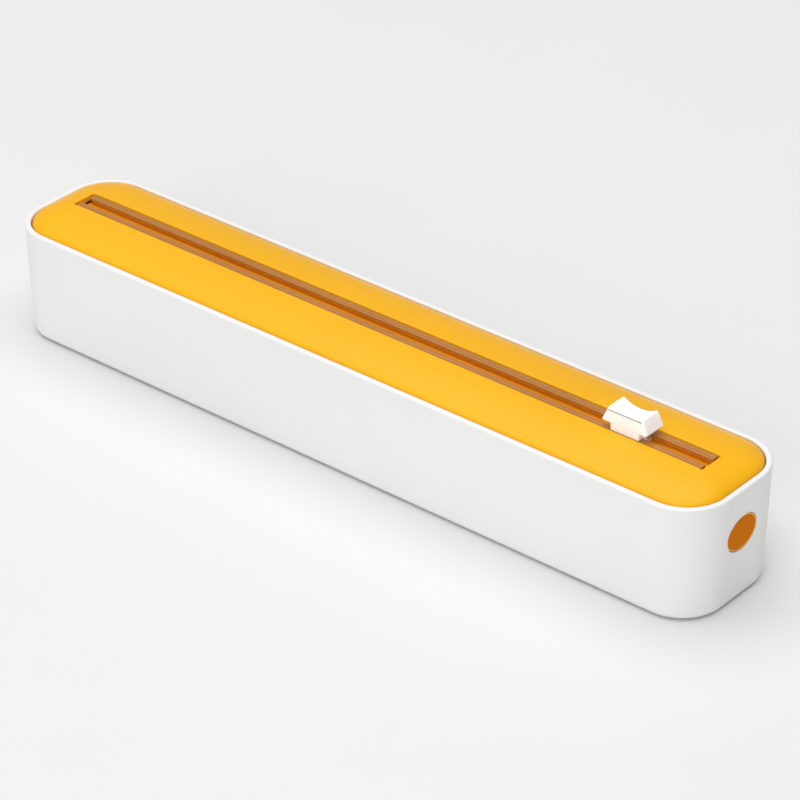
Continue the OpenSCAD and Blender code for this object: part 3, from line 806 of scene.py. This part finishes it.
def make_bracket_screws(name):
    """Pan heads with a cross recess."""
    low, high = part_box(name)
    head_r, head_h, side_h, flat_top = (high.x - low.x) / 2, 1.6 * MM, 0.5 * MM, 0.35
    shank_r, tip_r, tip_h = 1.25 * MM, 0.75 * MM, 0.6 * MM
    cross_arm, cross_half, cross_depth = 1.4 * MM, 0.25 * MM, 0.8 * MM
    x, head_z = (low.x + high.x) / 2, high.z - head_h
    screw_ys = (low.y + head_r, high.y - head_r)
    profile = [(low.z, AXIS_R), (low.z, tip_r), (low.z + tip_h, shank_r), (head_z, shank_r),
               (head_z, head_r), (head_z + side_h, head_r)]
    for a in quarter(6)[1:]:
        profile.append((head_z + side_h + (head_h - side_h) * math.sin(a),
                        head_r * (flat_top + (1 - flat_top) * math.cos(a))))
    profile.append((high.z, AXIS_R))
    bm = bmesh.new()
    for y in screw_ys:
        lathe(bm, profile, (x, y), steps=48, axis="Z")
    screws = finish_mesh(bm, name + "_pan_heads", SCREW_STEEL)
    for y in screw_ys:
        for reach_x, reach_y in ((cross_arm, cross_half), (cross_half, cross_arm)):
            bm = bmesh.new()
            soft_box(bm, (x - reach_x, y - reach_y, high.z - cross_depth),
                     (x + reach_x, y + reach_y, high.z + 1 * MM), 0.04 * MM, 1)
            cut(screws, finish_mesh(bm, "cross_cutter", SCREW_STEEL))
    place(screws, "tub", "steel", name)


def dress_cad_nodes():
    """CAD parts whose shape is right keep it and get their material."""
    for material, names in ((TRACK_ORANGE, ("cutter_track",)), (SLIDER_WHITE_PAINTED_GLOW, ("slider_shoe",)),
                            (WHITE, ("end_bracket_left", "end_bracket_right")),
                            (SCREW_STEEL, ("track_screws", "slider_screws"))):
        for name in names:
            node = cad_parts[name]
            node.data.materials.clear()
            node.data.materials.append(material)


# ---------------------------------------------------------------- camera, floor, light

def aim(obj, target):
    obj.rotation_euler = (Vector(target) - obj.location).to_track_quat("-Z", "Y").to_euler()


def make_camera():
    """The photograph's view: a long lens, to the right of the front and well above it."""
    azimuth, elevation, distance = math.radians(39.79), math.radians(31.435), 1.4341
    target = Vector((1.3 * MM, 11.6 * MM, 13.9 * MM))
    data = bpy.data.cameras.new("camera")
    data.lens = 162.6
    data.sensor_width = 36
    data.clip_end = 50
    camera = bpy.data.objects.new("camera", data)
    camera.location = target + distance * Vector((math.cos(elevation) * math.sin(azimuth),
                                                  -math.cos(elevation) * math.cos(azimuth),
                                                  math.sin(elevation)))
    scene.collection.objects.link(camera)
    aim(camera, target)
    scene.camera = camera


def make_floor():
    bm = bmesh.new()
    half = 6.0
    corners = ((-half, -half), (half, -half), (half, half), (-half, half))
    bm.faces.new([bm.verts.new((x, y, 0)) for x, y in corners])
    material = moulded("pale_floor", (0.79, 0.79, 0.79), 0.9, tint=0.004, grain=0.0, specular=0.2)
    floor = finish_mesh(bm, "floor", material)


def soft_light(name, location, target, size, power):
    """A white panel of light, with its sizes in metres and its power in watts."""
    data = bpy.data.lights.new(name, "AREA")
    data.shape = "RECTANGLE"
    data.size, data.size_y = size
    data.energy = power
    light = bpy.data.objects.new(name, data)
    light.location = location
    scene.collection.objects.link(light)
    aim(light, target)


def make_light():
    """A white surround, a large panel overhead and a smaller one in front and to the right."""
    world = bpy.data.worlds.new("studio")
    world.use_nodes = True
    background = world.node_tree.nodes["Background"]
    background.inputs["Color"].default_value = (1, 1, 1, 1)
    background.inputs["Strength"].default_value = 0.34
    scene.world = world
    scene.view_settings.view_transform = "Standard"
    soft_light("top", (-0.2, 0.0, 2.2), (0, 0, 0), (2.8, 2.8), 49)
    soft_light("front", (0.7, -2.1, 0.9), (0, 0, 0.02), (1.3, 1.2), 17.5)


make_camera()
make_tub()
make_tub_fittings()
make_lid()
make_rail("rail_front", -1)
make_rail("rail_back", 1)
make_grip()
make_slider_base()
make_blade("cutter_blade_left", -1)
make_blade("cutter_blade_right", 1)
make_button("button_left", -1)
make_button("button_right", 1)
make_spring("button_spring_left", -1)
make_spring("button_spring_right", 1)
make_roll()
make_plug("roll_plug_left", -1)
make_plug("roll_plug_right", 1)
make_feet()
make_bracket_screws("bracket_screws_left")
make_bracket_screws("bracket_screws_right")
dress_cad_nodes()
make_floor()
make_light()
